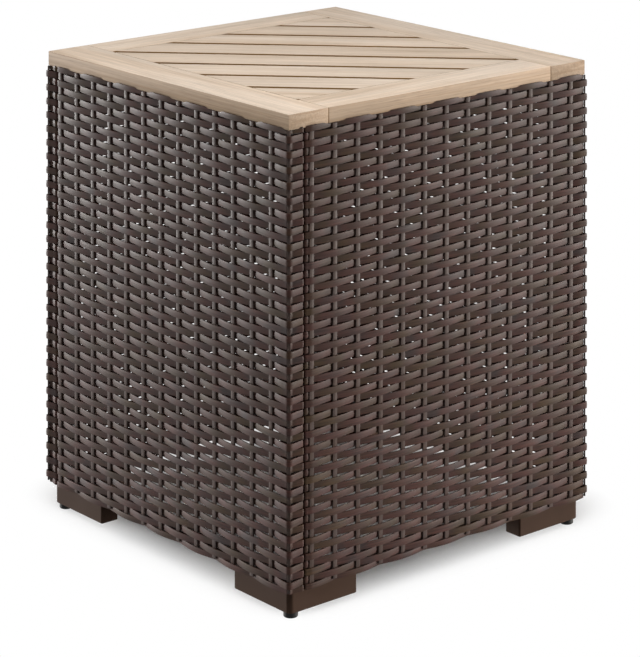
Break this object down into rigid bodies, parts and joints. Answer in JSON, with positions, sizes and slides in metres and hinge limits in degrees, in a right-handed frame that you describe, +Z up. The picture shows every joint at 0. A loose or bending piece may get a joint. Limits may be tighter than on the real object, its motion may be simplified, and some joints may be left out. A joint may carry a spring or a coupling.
{
  "type": "propane tank cover table",
  "caption": "Square patio side table that hides a propane tank: woven wicker panels on levelling feet, open below, under a lift-off top of diagonal wooden slats.",
  "frame": {"origin": "middle of the floor plan, on the floor under the levelling pads", "axes": "+Z up, -Y towards the front panel, +X towards the right panel as seen from the front"},
  "size_m": [0.454, 0.454, 0.543],
  "materials": {
    "teak": "satin, light oiled",
    "batten_wood": "matt, planed",
    "dowel_wood": "matt",
    "wicker": "satin with fine lengthwise streaks",
    "frame_tube": "satin powder coat",
    "foot_brown": "matt",
    "pad_black": "matt",
    "bumper_rubber": "matt",
    "zinc_steel": "zinc plated",
    "insert_metal": "yellow passivated"
  },
  "bodies": {
    "base": {"back_corner_post": "frame_tube", "back_left_post": "frame_tube", "back_panel_bottom_rail": "frame_tube", "back_panel_top_rail": "frame_tube", "back_weave": "wicker", "corner_bolts": "zinc_steel", "corner_inserts": "insert_metal", "foot_back_left": "foot_brown", "foot_back_right": "foot_brown", "foot_front_left": "foot_brown", "foot_front_right": "foot_brown", "foot_screws": "zinc_steel", "front_corner_post": "frame_tube", "front_left_post": "frame_tube", "front_panel_bottom_rail": "frame_tube", "front_panel_top_rail": "frame_tube", "front_weave": "wicker", "left_corner_post": "frame_tube", "left_left_post": "frame_tube", "left_panel_bottom_rail": "frame_tube", "left_panel_top_rail": "frame_tube", "left_weave": "wicker", "right_corner_post": "frame_tube", "right_left_post": "frame_tube", "right_panel_bottom_rail": "frame_tube", "right_panel_top_rail": "frame_tube", "right_weave": "wicker", "stud_sockets": "insert_metal", "top_bumpers": "bumper_rubber"},
    "top": {"slat_1": "teak", "slat_2": "teak", "slat_3": "teak", "slat_4": "teak", "slat_5": "teak", "slat_6": "teak", "slat_7": "teak", "slat_8": "teak", "top_back_rail": "teak", "top_dowels": "dowel_wood", "top_front_rail": "teak", "top_left_batten": "batten_wood", "top_left_cleat": "batten_wood", "top_left_rail": "teak", "top_right_batten": "batten_wood", "top_right_cleat": "batten_wood", "top_right_rail": "teak", "top_screws": "zinc_steel"},
    "leveller_front_right": {"levelling_pad_front_right": "pad_black", "levelling_stud_front_right": "zinc_steel"},
    "leveller_back_right": {"levelling_pad_back_right": "pad_black", "levelling_stud_back_right": "zinc_steel"},
    "leveller_back_left": {"levelling_pad_back_left": "pad_black", "levelling_stud_back_left": "zinc_steel"},
    "leveller_front_left": {"levelling_pad_front_left": "pad_black", "levelling_stud_front_left": "zinc_steel"}
  },
  "joints": [
    {"name": "top_lift", "type": "slide", "parent": "base", "child": "top", "axis": [0, 0, 1], "range_m": [0, 0.15]},
    {"name": "leveller_front_right_screw", "type": "slide", "parent": "base", "child": "leveller_front_right", "axis": [0, 0, -1], "range_m": [0, 0.01]},
    {"name": "leveller_back_right_screw", "type": "slide", "parent": "base", "child": "leveller_back_right", "axis": [0, 0, -1], "range_m": [0, 0.01]},
    {"name": "leveller_back_left_screw", "type": "slide", "parent": "base", "child": "leveller_back_left", "axis": [0, 0, -1], "range_m": [0, 0.01]},
    {"name": "leveller_front_left_screw", "type": "slide", "parent": "base", "child": "leveller_front_left", "axis": [0, 0, -1], "range_m": [0, 0.01]}
  ]
}
